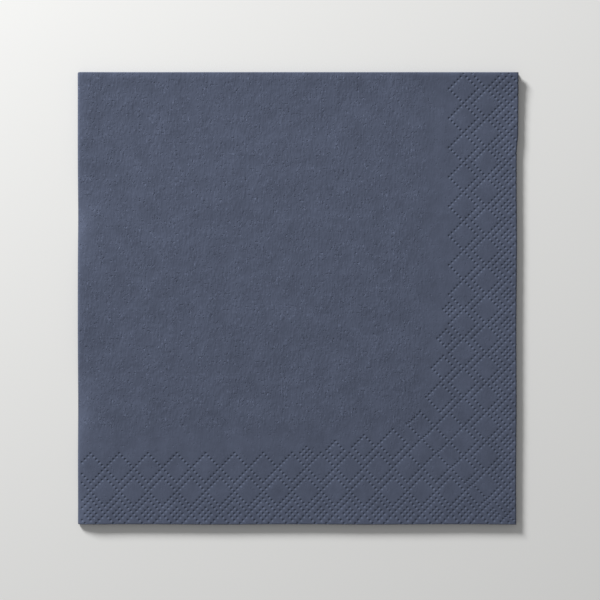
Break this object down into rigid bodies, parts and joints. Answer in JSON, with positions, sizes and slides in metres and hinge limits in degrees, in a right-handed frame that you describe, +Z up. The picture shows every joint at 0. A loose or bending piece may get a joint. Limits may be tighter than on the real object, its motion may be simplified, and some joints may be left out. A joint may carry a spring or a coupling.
{
  "type": "paper napkin",
  "caption": "Dark blue-grey paper napkin folded in half twice to a near square, soft folds left and top, embossed dotted diamond border along the two open edges; wipes and protects at table.",
  "frame": {"origin": "centre of the underside, on the surface that the napkin lies on", "axes": "+X towards the open right edge, +Y towards the first fold at the top edge, +Z up out of the top leaf; the second fold is at -X"},
  "size_m": [0.16, 0.165, 0.0022],
  "materials": {
    "tissue": "matt soft tissue, dyed dark blue-grey, fine crepe streaks and embossed dots"
  },
  "bodies": {
    "root": {"napkin": "tissue"}
  },
  "joints": []
}
